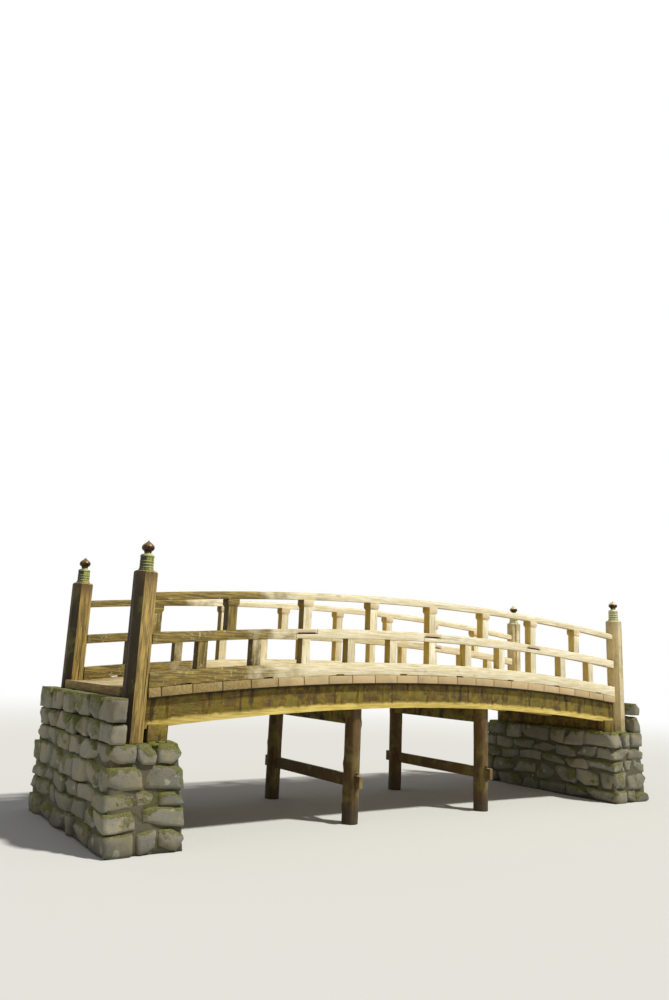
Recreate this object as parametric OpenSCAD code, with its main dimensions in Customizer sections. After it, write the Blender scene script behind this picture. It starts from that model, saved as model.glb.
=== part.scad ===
/* [Arch and bays] */
// Distance between the tall railing posts, centre to centre
bay = 900; // [780:10:1000]
// Number of bays in each railing
bays = 8; // [6:2:10]
// Extra length of the bay beside each end post
end_bay_extra = 30; // [0:5:80]
// Rise of the deck from its ends to its crown
arch_rise = 200; // [120:10:280]
// Height of the girders' underside at the crown above the stream bed
clear_height = 1235; // [1100:5:1600]
// Distance between the two railings, centre to centre
rail_gauge = 1935; // [1500:5:2600]

/* [Railing] */
// Thickness of the tall and short railing posts
post_w = 100; // [80:1:115]
// Height of the base rail
base_rail_h = 138; // [100:1:170]
// Width of the base rail
base_rail_w = 120; // [116:1:160]
// Underside of the middle rail above the deck
mid_rail_z = 400; // [300:5:450]
// Height of the middle rail
mid_rail_h = 100; // [70:1:120]
// Width of the middle rail
mid_rail_w = 112; // [104:1:140]
// Top of the handrail above the deck
top_rail_z = 888; // [800:2:1000]
// Height of the handrail at its middle
top_rail_h = 78; // [65:1:95]
// Width of the handrail
top_rail_w = 95; // [80:1:120]
// Radius of the handrail's rounded top
top_rail_crown = 61; // [61:1:120]
// Height of the cap block between a tall post and the handrail
cap_h = 82; // [60:1:110]
// Width of the cap block
cap_w = 126; // [118:1:160]
// Height of the cap block's tapered foot
cap_taper_h = 26; // [12:1:40]

/* [Railing joints] */
// Length of the lapped joint between two lengths of middle rail
lap_len = 270; // [180:5:400]
// Open seam that shows between the two halves of a lap
lap_seam = 12; // [2:0.5:18]
// Depth of that seam from the rail's face
lap_seam_depth = 14; // [6:1:30]
// Clearance at the square ends of a lap
lap_end_gap = 3; // [1:0.5:8]
// Length of a drain slot under the base rail
drain_len = 110; // [60:5:200]
// Height of a drain slot
drain_h = 15; // [8:1:30]

/* [Deck] */
// Thickness of the deck planks
plank_t = 85; // [60:1:110]
// Distance from one plank to the next
plank_pitch = 317; // [200:1:400]
// Open joint between two planks
plank_gap = 8; // [3:0.5:15]
// First plank joint to the right of the crown
first_joint = 85; // [0:5:195]
// How far the planks reach past the outer face of the base rail
plank_overhang = 8; // [0:1:40]
// Length of the threshold plank between two end posts, along the bridge
threshold_len = 210; // [150:5:240]
// Clearance between the threshold plank or the back wall and the end posts
threshold_gap = 5; // [3:1:12]

/* [Girders and piers] */
// Depth of the girders
girder_d = 280; // [220:5:340]
// Width of the girders
girder_w = 150; // [110:5:200]
// Outer face of an outer girder behind the plank ends
girder_setback = 50; // [20:5:120]
// Distance from the crown to each pier
pier_x = 1005; // [800:5:1300]
// Distance from a pier to the butt joint in the girders
girder_joint_x = 51; // [20:1:70]
// Gap left at the butt joint
girder_joint_gap = 4; // [1:0.5:8]
// Diameter of the round pier posts
pier_d = 180; // [160:5:260]
// Height of the crossbeam between two pier posts
crossbeam_h = 170; // [120:5:220]
// Width of the crossbeam
crossbeam_w = 150; // [130:5:158]
// Height of the tie between two pier posts
tie_h = 130; // [90:5:180]
// Thickness of the tie
tie_t = 48; // [30:1:80]
// Underside of the tie above the stream bed
tie_z = 380; // [200:10:600]
// How far the tie runs out past the posts
tie_overrun = 90; // [30:5:140]

/* [End posts and finials] */
// Width of the octagonal end posts across their flats
end_post_af = 210; // [180:1:260]
// Top of the end posts above the deck's crown
end_post_top = 886; // [820:2:1000]
// Bevel round the top of the end posts
end_post_bevel = 14; // [4:1:30]
// Diameter of the finial's foot
finial_foot_d = 152; // [142:1:170]
// Height of the finial's foot
finial_foot_h = 32; // [20:1:45]
// Diameter of the finial's drum
finial_drum_d = 130; // [110:1:138]
// Height of the finial's drum
finial_drum_h = 112; // [80:1:150]
// Height of the rounded shoulder over the drum
finial_shoulder_h = 18; // [10:1:30]
// Height of a raised band round the drum
finial_band_h = 7; // [3:0.5:10]
// How far a band stands out from the drum
finial_band = 3; // [1:0.5:5]
// Height of the finial's neck
finial_neck_h = 20; // [12:1:35]
// Diameter of the finial's neck
finial_neck_d = 84; // [60:1:100]
// Diameter of the finial's bud
finial_bud_d = 118; // [104:1:140]
// Height of the finial's bud up to its tip
finial_bud_h = 116; // [90:1:160]

/* [Abutments] */
// Distance from the face of the end posts back to the front of the abutment
abutment_toe = 330; // [280:5:500]
// Distance from the face of the end posts to the back of the abutment
abutment_back = 380; // [330:5:600]
// Side of the abutment past the outer face of an end post
abutment_side = 110; // [60:5:300]
// Lean of the abutment's front and sides over its height
abutment_batter = 90; // [0:5:150]
// Height of the sill beam under the girders' ends
sill_h = 160; // [100:5:240]
// Width of the sill beam
sill_w = 200; // [140:5:240]
// Distance from the face of the end posts to the sill beam
sill_setback = 35; // [15:5:60]
// Depth that the girders are cut down over the sill beam
sill_notch = 15; // [5:1:30]
// How far the sill beam runs out past the outer girders
sill_overrun = 30; // [0:5:60]
// Depth that the back wall is bonded into the stonework under it
wall_bond = 120; // [60:10:200]

/* [Hidden] */

// Plan, from the crown outwards
end_axis = bay * bays / 2 + end_bay_extra;
end_face = end_axis - end_post_af / 2;
rail_y = rail_gauge / 2;
deck_half = rail_y + base_rail_w / 2 + plank_overhang;
girder_y = deck_half - girder_setback - girder_w / 2;
pier_y = girder_y - girder_w / 2;
girder_joint = pier_x + girder_joint_x;

// Every curved piece lies between two radii about one centre below the crown
deck_r = (end_face * end_face + arch_rise * arch_rise) / (2 * arch_rise);
crown_z = clear_height + girder_d + plank_t;
arc_z = crown_z - deck_r;
girder_top_r = deck_r - plank_t;
girder_low_r = girder_top_r - girder_d;
base_rail_r = deck_r + base_rail_h;
mid_low_r = deck_r + mid_rail_z;
mid_top_r = mid_low_r + mid_rail_h;
top_rail_r = deck_r + top_rail_z;
top_low_r = top_rail_r - top_rail_h;
cap_low_r = top_low_r - cap_h;

// Levels at the ends
sill_in = end_face - sill_setback - sill_w;
sill_top = arc_height(sill_in, girder_low_r) + sill_notch;
abutment_top = sill_top - sill_h;
post_top = crown_z + end_post_top;
backwall_top = crown_z - arch_rise - plank_t;
backwall_front = end_face + threshold_gap;
abutment_half = rail_y + end_post_af / 2 + abutment_side;

// Smoothness of large arcs and of small round pieces
arc_fn = 256;
round_fn = 64;
arch_step = 100;

wood_sun = "#cdbb92";
wood_grey = "#a99f80";
wood_moss = "#7d7440";
log_brown = "#7a6548";
stone_moss = "#77795f";
bronze = "#7f8f78";

// Height of a circle of radius r about the arch's centre, at distance x from the crown
function arc_height(x, r) = arc_z + sqrt(r * r - x * x);

// Angle of the slope at distance x from the crown
function slope_at(x, r) = asin(x / r);

// Smoothness that gives a sweep an even number of steps, so that one of them ends at the crown
function even_steps(angle) = floor(719 * max(1, floor(arc_fn * angle / 720)) / angle);

// Part of a ring about the arch's centre, from angle a0 to a1, both measured from the crown
module ring_part(a0, a1, r_in) {
    crown_inside = a0 < 0 && a1 > 0 && a1 - a0 > 720 / arc_fn;
    translate([0, 0, arc_z])
        rotate([90, 0, 0])
            rotate([0, 0, 90 - a1])
                rotate_extrude(angle = a1 - a0, $fn = crown_inside ? even_steps(a1 - a0) : arc_fn)
                    translate([r_in, 0])
                        children();
}

// A ring part that covers everything from x0 to x1 between the two radii
module arch_sweep(x0, x1, r_in, r_out) {
    ring_part(asin(x0 / (x0 > 0 ? r_out : r_in)), asin(x1 / (x1 > 0 ? r_in : r_out)), r_in)
        children();
}

// An arched bar with plumb ends: its section is drawn with the height along x from r_in
module arch_bar(x0, x1, r_in, r_out, y = 0) {
    low = arc_height(max(abs(x0), abs(x1)), r_in) - bay;
    intersection() {
        translate([0, y, 0])
            arch_sweep(x0, x1, r_in, r_out)
                children();
        translate([x0, -2 * rail_gauge, low])
            cube([x1 - x0, 4 * rail_gauge, crown_z + 2 * bay - low]);
    }
}

// Cutter with plumb ends between x0 and x1, from a straight line that follows radius r up to height
// rise above it, or down below it where rise is negative, and from y0 to y1 across the bridge
module plumb_cut(x0, x1, r, rise, y0, y1) {
    translate([0, y1, 0])
        rotate([90, 0, 0])
            linear_extrude(y1 - y0)
                polygon([
                    [x0, arc_height(x0, r)], [x1, arc_height(x1, r)],
                    [x1, arc_height(x1, r) + rise], [x0, arc_height(x0, r) + rise]
                ]);
}

// A rectangular section for an arched bar
module bar_section(h, w) {
    translate([0, -w / 2])
        square([h, w]);
}

// Upright eight-sided block with bevelled upper edges, standing on the floor of its own frame
module octagon_post(af, h, bevel) {
    intersection_for(turn = [0, 45, 90, 135])
        rotate([90, 0, turn])
            translate([0, 0, -af])
                linear_extrude(2 * af)
                    polygon([
                        [-af / 2, 0], [af / 2, 0], [af / 2, h - bevel],
                        [af / 2 - bevel, h], [bevel - af / 2, h], [-af / 2, h - bevel]
                    ]);
}

// One end post, on the side and at the end that sx and sy give
module end_post_at(sx, sy) {
    translate([sx * end_axis, sy * rail_y, abutment_top])
        octagon_post(end_post_af, post_top - abutment_top, end_post_bevel);
}

// A rail that runs from end post to end post and butts against their faces
module rail_between_posts(r_in, r_out, sy) {
    arch_bar(-end_face, end_face, r_in, r_out, sy * rail_y)
        children();
}

// Abutment of laid stone: leaning front and sides, and a back wall between and behind the posts
module abutment(sx) {
    front = end_face - abutment_toe;
    back = end_face + abutment_back;
    wall_front = end_axis + end_post_af / 2 + threshold_gap;
    wall_low = abutment_top - wall_bond;
    color(stone_moss)
        mirror([sx < 0 ? 1 : 0, 0, 0]) {
            intersection() {
                rotate([90, 0, 0])
                    translate([0, 0, -2 * abutment_half])
                        linear_extrude(4 * abutment_half)
                            polygon([
                                [front - abutment_batter, 0], [back, 0],
                                [back, abutment_top], [front, abutment_top]
                            ]);
                rotate([90, 0, 90])
                    linear_extrude(2 * back)
                        polygon([
                            [-abutment_half - abutment_batter, 0],
                            [abutment_half + abutment_batter, 0],
                            [abutment_half, abutment_top], [-abutment_half, abutment_top]
                        ]);
            }
            translate([backwall_front, threshold_gap - rail_y + end_post_af / 2, wall_low])
                cube([
                    back - backwall_front,
                    2 * (rail_y - end_post_af / 2 - threshold_gap),
                    backwall_top - wall_low
                ]);
            translate([wall_front, -abutment_half, wall_low])
                cube([back - wall_front, 2 * abutment_half, backwall_top - wall_low]);
        }
}

// Sill beam that lies across the abutment and carries the girders' ends
module sill_beam(sx) {
    color(wood_moss)
        translate([sx * (sill_in + sill_w / 2), 0, abutment_top + sill_h / 2])
            cube([sill_w, 2 * (girder_y + girder_w / 2 + sill_overrun), sill_h], center = true);
}

// A girder in three lengths, notched over the sill beams
module girder(y) {
    cut = girder_joint_gap / 2;
    color(wood_moss) {
        arch_bar(-girder_joint + cut, girder_joint - cut, girder_low_r, girder_top_r, y)
            bar_section(girder_d, girder_w);
        for (sx = [-1, 1])
            difference() {
                arch_bar(
                    sx < 0 ? -end_face : girder_joint + cut,
                    sx < 0 ? -girder_joint - cut : end_face,
                    girder_low_r, girder_top_r, y
                )
                    bar_section(girder_d, girder_w);
                sill_beam(sx);
            }
    }
}

// Two round posts, sawn off straight under the outer girders, with a tail behind each girder
module pier_posts(sx) {
    x = sx * pier_x;
    seat_half = pier_d / 2;
    tail_top = arc_height(pier_x + pier_d, girder_top_r) - 20;
    color(log_brown)
        for (sy = [-1, 1])
            difference() {
                translate([x, sy * pier_y, 0])
                    cylinder(d = pier_d, h = tail_top, $fn = round_fn);
                plumb_cut(
                    x - seat_half - 1, x + seat_half + 1, girder_low_r, 2 * girder_d,
                    sy < 0 ? -pier_y - girder_w : pier_y, sy < 0 ? -pier_y : pier_y + girder_w
                );
                pier_tie(sx);
            }
}

// Crossbeam under the middle girder, cut to the round posts
module crossbeam(sx) {
    x = sx * pier_x;
    color(wood_moss)
        difference() {
            arch_bar(x - crossbeam_w / 2, x + crossbeam_w / 2, girder_low_r - crossbeam_h, girder_low_r)
                bar_section(crossbeam_h, 2 * pier_y);
            for (sy = [-1, 1])
                translate([x, sy * pier_y, 0])
                    cylinder(d = pier_d, h = crown_z, $fn = round_fn);
        }
}

// Tie that runs through both posts of a pier
module pier_tie(sx) {
    color(log_brown)
        translate([sx * pier_x, 0, tie_z + tie_h / 2])
            cube([tie_t, 2 * pier_y + pier_d + 2 * tie_overrun, tie_h], center = true);
}

// Deck planks, each one a separate board across the girders
module deck_planks() {
    first = -ceil((end_face + first_joint) / plank_pitch);
    last = ceil((end_face - first_joint) / plank_pitch);
    color(wood_sun)
        for (i = [first:last - 1]) {
            x0 = max(first_joint + i * plank_pitch + plank_gap / 2, -end_face);
            x1 = min(first_joint + (i + 1) * plank_pitch - plank_gap / 2, end_face);
            if (x1 - x0 > 4 * plank_gap)
                plank(x0, x1);
        }
}

// One deck plank, with its edges square to the arch
module plank(x0, x1) {
    ring_part(asin(x0 / deck_r), asin(x1 / deck_r), deck_r - plank_t)
        bar_section(plank_t, 2 * deck_half);
}

// Level threshold plank between two end posts
module threshold(sx) {
    inside = rail_y - end_post_af / 2 - threshold_gap;
    color(wood_grey)
        translate([sx * (backwall_front + threshold_len / 2), 0, backwall_top + plank_t / 2])
            cube([threshold_len, 2 * inside, plank_t], center = true);
}

// Base rail on the planks, with a drain slot in the middle of each bay
module base_rail(sy) {
    color(wood_sun)
        difference() {
            rail_between_posts(deck_r, base_rail_r, sy)
                bar_section(base_rail_h, base_rail_w);
            for (i = [0:bays - 1]) {
                x = (i - (bays - 1) / 2) * bay;
                translate([x, sy * rail_y, arc_height(x, deck_r)])
                    rotate([0, slope_at(x, deck_r), 0])
                        cube([drain_len, 2 * base_rail_w, 2 * drain_h], center = true);
            }
        }
}

// Plumb posts that fit between two arched rails
module posts_between(places, r_in, r_out, sy) {
    for (x = places)
        arch_bar(x - post_w / 2, x + post_w / 2, r_in, r_out, sy * rail_y)
            bar_section(r_out - r_in, post_w);
}

// Places of the tall posts, one to each bay line
tall_places = [for (i = [1 - bays / 2:bays / 2 - 1]) i * bay];

// Places of the short posts, three to two bays
short_step = bay * 2 / 3;
short_count = floor((end_face - post_w) / short_step);
short_places = [for (i = [-short_count:short_count]) i * short_step];

module short_posts(sy) {
    color(wood_sun)
        posts_between(short_places, base_rail_r, mid_low_r, sy);
}

module tall_posts(sy) {
    color(wood_sun)
        posts_between(tall_places, mid_top_r, cap_low_r, sy);
}

// Points along the arch from x0 to x1 at radius r, close enough to read as one curve
function arch_points(x0, x1, r) =
    let (steps = ceil(abs(x1 - x0) / arch_step))
    [for (i = [0:steps]) let (x = x0 + (x1 - x0) * i / steps) [x, arc_height(x, r)]];

// Point of the straight seam of the lap at x = lap
seam_r = mid_low_r + mid_rail_h / 2;
function seam_point(x, lap) =
    let (
        low = arc_height(lap - lap_len / 2, seam_r),
        high = arc_height(lap + lap_len / 2, seam_r)
    )
    [x, low + (high - low) * (x - lap + lap_len / 2) / lap_len];

// One length of middle rail between two laps or end posts, halved at each lap
module mid_rail_length(x0, x1, lap_low, lap_high) {
    half_lap = lap_len / 2;
    out = half_lap - lap_end_gap;
    inner = mid_rail_w / 2 - lap_seam_depth;
    start = lap_low == "none" ? x0 : x0 - out;
    end = lap_high == "none" ? x1 : x1 + out;
    inside_low = x0 + half_lap;
    inside_high = x1 - half_lap;
    low_seam = [seam_point(start, x0), seam_point(inside_low, x0)];
    high_seam = [seam_point(inside_high, x1), seam_point(end, x1)];
    difference() {
        translate([0, mid_rail_w / 2, 0])
            rotate([90, 0, 0])
                linear_extrude(mid_rail_w)
                    polygon(concat(
                        arch_points(
                            lap_low == "upper" ? inside_low : start,
                            lap_high == "upper" ? inside_high : end,
                            mid_low_r
                        ),
                        lap_high == "none" ? []
                            : lap_high == "upper" ? high_seam : [high_seam[1], high_seam[0]],
                        arch_points(
                            lap_high == "lower" ? inside_high : end,
                            lap_low == "lower" ? inside_low : start,
                            mid_top_r
                        ),
                        lap_low == "none" ? []
                            : lap_low == "upper" ? low_seam : [low_seam[1], low_seam[0]]
                    ));
        for (lap = [[x0, lap_low], [x1, lap_high]])
            if (lap[1] != "none")
                for (side = [-1, 1])
                    let (rise = lap[1] == "upper" ? -lap_seam : lap_seam)
                        plumb_cut(
                            lap[0] - half_lap, lap[0] + half_lap, seam_r - rise / 2, rise,
                            side < 0 ? -mid_rail_w : inner, side < 0 ? -inner : mid_rail_w
                        );
    }
}

// Middle rail in four lengths, lapped over the posts at the crown and two bays out
module mid_rail(sy, part) {
    lap_x = 2 * bay;
    color(wood_sun)
        translate([0, sy * rail_y, 0])
            if (part == "outer_left")
                mid_rail_length(-end_face, -lap_x, "none", "upper");
            else if (part == "inner_left")
                mid_rail_length(-lap_x, 0, "lower", "upper");
            else if (part == "inner_right")
                mid_rail_length(0, lap_x, "lower", "upper");
            else
                mid_rail_length(lap_x, end_face, "lower", "none");
}

// One cap block: a square block under the handrail with its foot tapered down to the post
module cap_block(x, sy) {
    half_post = post_w / 2;
    half_cap = cap_w / 2;
    mid_r = cap_low_r + cap_taper_h;
    intersection() {
        translate([0, sy * rail_y + cap_w, 0])
            rotate([90, 0, 0])
                linear_extrude(2 * cap_w)
                    polygon([
                        [x - half_post, arc_height(x - half_post, cap_low_r)],
                        [x + half_post, arc_height(x + half_post, cap_low_r)],
                        [x + half_cap, arc_height(x + half_cap, mid_r)],
                        [x + half_cap, arc_height(x + half_cap, top_low_r)],
                        [x - half_cap, arc_height(x - half_cap, top_low_r)],
                        [x - half_cap, arc_height(x - half_cap, mid_r)]
                    ]);
        translate([x, sy * rail_y, arc_height(x, cap_low_r)])
            rotate([0, slope_at(x, cap_low_r), 0])
                rotate([90, 0, 90])
                    translate([0, 0, -cap_w])
                        linear_extrude(2 * cap_w)
                            polygon([
                                [-half_post, -1], [half_post, -1], [half_post, 0],
                                [half_cap, cap_taper_h], [half_cap, 2 * cap_h],
                                [-half_cap, 2 * cap_h], [-half_cap, cap_taper_h],
                                [-half_post, 0]
                            ]);
    }
}

module cap_blocks(sy) {
    color(wood_sun)
        for (x = tall_places)
            cap_block(x, sy);
}

// Section of the handrail: upright sides under a rounded top
module handrail_section() {
    intersection() {
        bar_section(top_rail_h, top_rail_w);
        translate([top_rail_h - top_rail_crown, 0])
            circle(r = top_rail_crown, $fn = round_fn);
    }
}

module handrail(sy) {
    color(wood_sun)
        rail_between_posts(top_low_r, top_rail_r, sy)
            handrail_section();
}

module end_post(sx, sy) {
    color(wood_grey)
        end_post_at(sx, sy);
}

// Outline of the finial's bud: a full round below, drawn up to a point above
bud_low = 0.36;
bud_steps = 14;
function bud_r(u) =
    u < bud_low
    ? sqrt(1 - pow(1 - u / bud_low, 2))
    : let (v = (u - bud_low) / (1 - bud_low))
      0.6 * cos(90 * v) + 0.4 * (1 + cos(180 * v)) / 2;

// Finial: foot, banded drum, shoulder, waisted neck and pointed bud, turned in one piece
module finial(sx, sy) {
    foot_r = finial_foot_d / 2;
    drum_r = finial_drum_d / 2;
    neck_r = finial_neck_d / 2;
    bud_max = finial_bud_d / 2;
    foot_step = (foot_r - drum_r) / 2;
    drum_top = finial_foot_h + finial_drum_h;
    shoulder_top = drum_top + finial_shoulder_h;
    neck_top = shoulder_top + finial_neck_h;
    bud = [
        for (i = [0:bud_steps])
            let (u = i / bud_steps)
            [max(bud_max * bud_r(u), i == 0 ? neck_r * 6 / 7 : 0), neck_top + u * finial_bud_h]
    ];
    shoulder = [
        for (a = [0:18:90])
            [neck_r + (drum_r - neck_r) * cos(a), drum_top + finial_shoulder_h * sin(a)]
    ];
    neck = [
        for (a = [0:30:180])
            [neck_r * (1 - sin(a) / 8), shoulder_top + finial_neck_h * a / 180]
    ];
    color(bronze)
        translate([sx * end_axis, sy * rail_y, post_top])
            rotate_extrude($fn = round_fn)
                union() {
                    polygon(concat(
                        [
                            [0, 0], [foot_r, 0], [foot_r, finial_foot_h * 3 / 8],
                            [foot_r - foot_step, finial_foot_h * 5 / 8], [drum_r, finial_foot_h]
                        ],
                        shoulder, neck, bud
                    ));
                    for (share = [0, 0.2, 0.3, 0.89])
                        translate([0, finial_foot_h + share * finial_drum_h])
                            square([drum_r + finial_band, finial_band_h]);
                }
}

abutment(-1);  // abutment_left
abutment(1);  // abutment_right
sill_beam(-1);  // sill_beam_left
sill_beam(1);  // sill_beam_right
pier_posts(-1);  // pier_posts_left
pier_posts(1);  // pier_posts_right
crossbeam(-1);  // crossbeam_left
crossbeam(1);  // crossbeam_right
pier_tie(-1);  // pier_tie_left
pier_tie(1);  // pier_tie_right
girder(-girder_y);  // girder_near
girder(0);  // girder_middle
girder(girder_y);  // girder_far
deck_planks();
threshold(-1);  // threshold_left
threshold(1);  // threshold_right
base_rail(-1);  // base_rail_near
base_rail(1);  // base_rail_far
short_posts(-1);  // short_posts_near
short_posts(1);  // short_posts_far
mid_rail(-1, "outer_left");  // mid_rail_near_outer_left
mid_rail(-1, "inner_left");  // mid_rail_near_inner_left
mid_rail(-1, "inner_right");  // mid_rail_near_inner_right
mid_rail(-1, "outer_right");  // mid_rail_near_outer_right
mid_rail(1, "outer_left");  // mid_rail_far_outer_left
mid_rail(1, "inner_left");  // mid_rail_far_inner_left
mid_rail(1, "inner_right");  // mid_rail_far_inner_right
mid_rail(1, "outer_right");  // mid_rail_far_outer_right
tall_posts(-1);  // tall_posts_near
tall_posts(1);  // tall_posts_far
cap_blocks(-1);  // cap_blocks_near
cap_blocks(1);  // cap_blocks_far
handrail(-1);  // handrail_near
handrail(1);  // handrail_far
end_post(-1, -1);  // end_post_near_left
end_post(1, -1);  // end_post_near_right
end_post(-1, 1);  // end_post_far_left
end_post(1, 1);  // end_post_far_right
finial(-1, -1);  // finial_near_left
finial(1, -1);  // finial_near_right
finial(-1, 1);  // finial_far_left
finial(1, 1);  // finial_far_right
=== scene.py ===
"""Moon bridge: weathered timber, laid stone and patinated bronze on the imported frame."""
import math
import random

import bmesh
import bpy
from bpy.props import FloatProperty, FloatVectorProperty, PointerProperty
from mathutils import Matrix, Vector, noise


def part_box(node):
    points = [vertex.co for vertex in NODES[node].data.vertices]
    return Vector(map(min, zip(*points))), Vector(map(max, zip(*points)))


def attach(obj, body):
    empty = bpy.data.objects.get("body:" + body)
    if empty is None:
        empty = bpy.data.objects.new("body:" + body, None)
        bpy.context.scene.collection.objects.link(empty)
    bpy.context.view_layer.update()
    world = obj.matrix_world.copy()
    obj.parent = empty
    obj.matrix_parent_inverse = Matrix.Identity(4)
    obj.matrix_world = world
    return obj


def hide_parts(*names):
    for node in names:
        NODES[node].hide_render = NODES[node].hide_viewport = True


bl_info = {
    "name": "Moon bridge",
    "version": (1, 0, 0),
    "blender": (4, 5, 0),
    "location": "3D View > Sidebar > Bridge",
    "description": "Dresses the arched garden bridge: timber, stone, bronze and a plain studio",
    "category": "Object",
}

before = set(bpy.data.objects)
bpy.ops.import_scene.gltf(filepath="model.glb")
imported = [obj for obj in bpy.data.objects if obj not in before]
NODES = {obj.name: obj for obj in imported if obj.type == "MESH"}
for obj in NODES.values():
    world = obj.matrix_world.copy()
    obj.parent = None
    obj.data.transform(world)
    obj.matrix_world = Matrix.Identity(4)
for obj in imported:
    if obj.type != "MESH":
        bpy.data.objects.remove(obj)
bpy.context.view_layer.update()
noise.seed_set(5)  # without a seed the noise that shapes the meshes starts from the clock

# Sizes and levels that the solids share, in metres
BAY = 0.9
DECK_RADIUS = 31.16406
ARCH_CENTRE = -29.56406
PLANK_PITCH = 0.317
FIRST_JOINT = 0.085
END_FACE = 3.525
LAP_SPACING = 2 * BAY
LAP_LEVEL = 0.455
FINIAL_FOOT = 2.486
# Gap between boards, rows of nails over the girders and how far nails sit from a board's edge
PLANK_GAP = 0.008
BOARDS_A_SIDE = 12
NAIL_ROWS = (-0.87, 0.0, 0.87)
NAIL_INSET = 0.055
# Heights of the raised bands over a finial's foot
BANDS = (0.0355, 0.0635, 0.0905, 0.1405)
CHECKS_PER_POST = 6
KNOTS_PER_LOG = 7
CUSHIONS_PER_ABUTMENT = 64
MORTAR_RECESS = 0.042
CORNERS = ("near_left", "near_right", "far_left", "far_right")


def linear(colour):
    """An sRGB hex colour as the linear values that a shader reads."""
    channels = [int(colour[i : i + 2], 16) / 255 for i in (1, 3, 5)]
    return [c / 12.92 if c <= 0.04045 else ((c + 0.055) / 1.055) ** 2.4 for c in channels]


def colour_property(name, description, colour):
    """A colour swatch that starts at an sRGB hex value."""
    return FloatVectorProperty(
        name=name, description=description, subtype="COLOR", size=3, min=0, max=1,
        default=linear(colour),
    )


# Materials

# The kinds of node that every finish uses most, and what is usual for two of them. A noise is
# given its place, its scale and, where they matter, its detail and roughness.
RAMP, NOISE = "MapRange", "TexNoise"
TIMES, PLUS, LESS, TIMES_PLUS = "Math.MULTIPLY", "Math.ADD", "Math.SUBTRACT", "Math.MULTIPLY_ADD"
SIZE = "Math.ABSOLUTE"
USUAL = {"Mix": {"data_type": "RGBA"}, RAMP: {"interpolation_type": "SMOOTHSTEP"}}


def node_adder(tree):
    """Returns the one function that adds a node to this tree."""

    def put(kind, *values, out=0, **settings):
        """Adds a node, such as "TexNoise" or "Math.ADD", sets it up, fills or links its sockets
        in order, or by name from a dict, and returns an output, or all of them for out=None.
        A colour may be an sRGB hex value."""
        kind, _, mode = kind.partition(".")
        node = tree.nodes.new("ShaderNode" + kind)
        if mode:
            settings["blend_type" if kind == "Mix" else "operation"] = mode
        for name, value in {**USUAL.get(kind, {}), **settings}.items():
            setattr(node, name, value)
        sockets = [socket for socket in node.inputs if socket.enabled]
        by_name = values and isinstance(values[0], dict)
        for key, value in (values[0] if by_name else dict(enumerate(values))).items():
            socket = node.inputs[key] if by_name else sockets[key]
            if isinstance(value, bpy.types.NodeSocket):
                tree.links.new(value, socket)
            elif socket.type == "RGBA":
                channels = linear(value) if isinstance(value, str) else value[:3]
                socket.default_value = (*channels, 1)
            else:
                socket.default_value = value
        outputs = [socket for socket in node.outputs if socket.enabled]
        if out is None or not outputs:
            return outputs
        return node.outputs[out] if isinstance(out, str) else outputs[out]

    return put


def new_material(name):
    """An empty node material with the function that adds its nodes and its object coordinates."""
    material = bpy.data.materials.new(name)
    material.use_nodes = True
    material.node_tree.nodes.clear()
    put = node_adder(material.node_tree)
    return material, put, put("TexCoord", out="Object")


def finish_material(put, colour, roughness, height, depth, metallic=0.0, ior=1.5):
    """Closes a material with its colour, its roughness and a bump of that depth in metres."""
    normal = put("Bump", {"Height": height, "Distance": depth, "Strength": 1.0})
    put("OutputMaterial", put("BsdfPrincipled", {
        "Base Color": colour, "Roughness": roughness, "Metallic": metallic, "IOR": ior,
        "Normal": normal}))


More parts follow.
